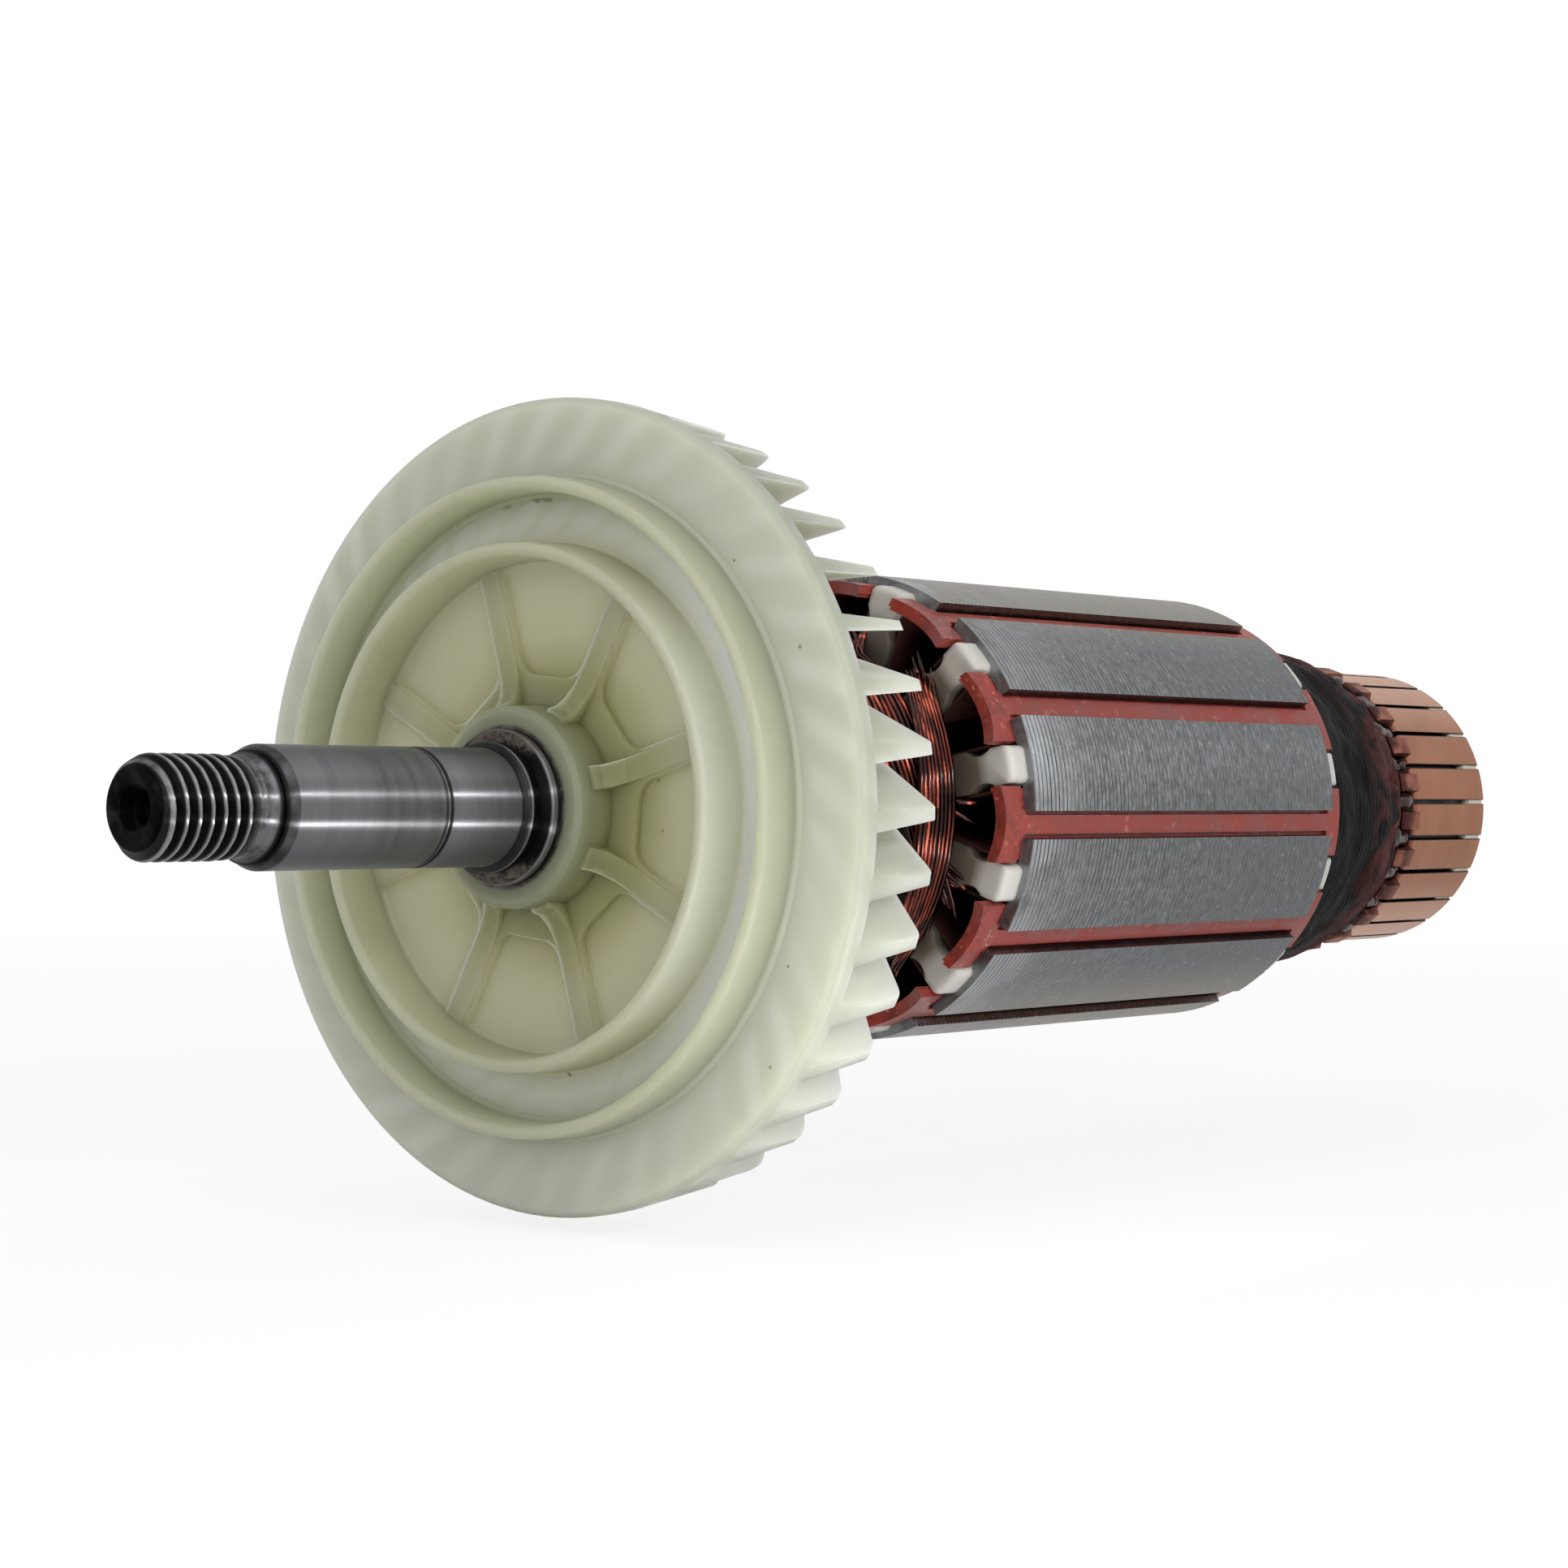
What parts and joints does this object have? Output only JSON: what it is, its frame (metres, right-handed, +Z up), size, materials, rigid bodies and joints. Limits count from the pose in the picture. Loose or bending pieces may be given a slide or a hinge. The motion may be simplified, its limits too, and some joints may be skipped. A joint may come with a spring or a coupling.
{
  "type": "motor armature",
  "caption": "Wound armature of a large angle grinder's universal motor, with threaded shaft end, moulded fan and commutator.",
  "frame": {"origin": "on the shaft's axis, at the shoulder that the drive-end bearing rests against", "axes": "+X along the shaft from the threaded end towards the commutator, +Z up"},
  "size_m": [0.2376, 0.0842, 0.0842],
  "materials": {
    "shaft_steel": "ground and turned, satin",
    "fan_nylon": "natural moulded nylon, satin",
    "insulation": "matt",
    "core_steel": "turned over the laminations, varnished",
    "end_moulding": "moulded, satin",
    "liner_fibre": "fibre paper",
    "wedge_fibre": "varnished fibre",
    "enamelled_copper": "enamel under varnish, glossy",
    "varnished_cord": "cord soaked in dark varnish",
    "bar_copper": "turned copper",
    "commutator_resin": "pale moulding compound, matt",
    "bush_metal": "turned"
  },
  "bodies": {
    "root": {"shaft": "shaft_steel", "cooling_fan": "fan_nylon", "shaft_sleeve": "insulation", "lamination_stack": "core_steel", "front_insulator": "end_moulding", "rear_insulator": "end_moulding", "slot_liners": "liner_fibre", "lead_wires": "enamelled_copper", "lead_binding": "varnished_cord", "commutator_moulding": "commutator_resin", "commutator_bush": "bush_metal", "slot_wedge_01": "wedge_fibre", "slot_wedge_02": "wedge_fibre", "slot_wedge_03": "wedge_fibre", "slot_wedge_04": "wedge_fibre", "slot_wedge_05": "wedge_fibre", "slot_wedge_06": "wedge_fibre", "slot_wedge_07": "wedge_fibre", "slot_wedge_08": "wedge_fibre", "slot_wedge_09": "wedge_fibre", "slot_wedge_10": "wedge_fibre", "slot_wedge_11": "wedge_fibre", "slot_wedge_12": "wedge_fibre", "coil_01": "enamelled_copper", "coil_02": "enamelled_copper", "coil_03": "enamelled_copper", "coil_04": "enamelled_copper", "coil_05": "enamelled_copper", "coil_06": "enamelled_copper", "coil_07": "enamelled_copper", "coil_08": "enamelled_copper", "coil_09": "enamelled_copper", "coil_10": "enamelled_copper", "coil_11": "enamelled_copper", "coil_12": "enamelled_copper", "commutator_bar_01": "bar_copper", "commutator_bar_02": "bar_copper", "commutator_bar_03": "bar_copper", "commutator_bar_04": "bar_copper", "commutator_bar_05": "bar_copper", "commutator_bar_06": "bar_copper", "commutator_bar_07": "bar_copper", "commutator_bar_08": "bar_copper", "commutator_bar_09": "bar_copper", "commutator_bar_10": "bar_copper", "commutator_bar_11": "bar_copper", "commutator_bar_12": "bar_copper", "commutator_bar_13": "bar_copper", "commutator_bar_14": "bar_copper", "commutator_bar_15": "bar_copper", "commutator_bar_16": "bar_copper", "commutator_bar_17": "bar_copper", "commutator_bar_18": "bar_copper", "commutator_bar_19": "bar_copper", "commutator_bar_20": "bar_copper", "commutator_bar_21": "bar_copper", "commutator_bar_22": "bar_copper", "commutator_bar_23": "bar_copper", "commutator_bar_24": "bar_copper"}
  },
  "joints": []
}
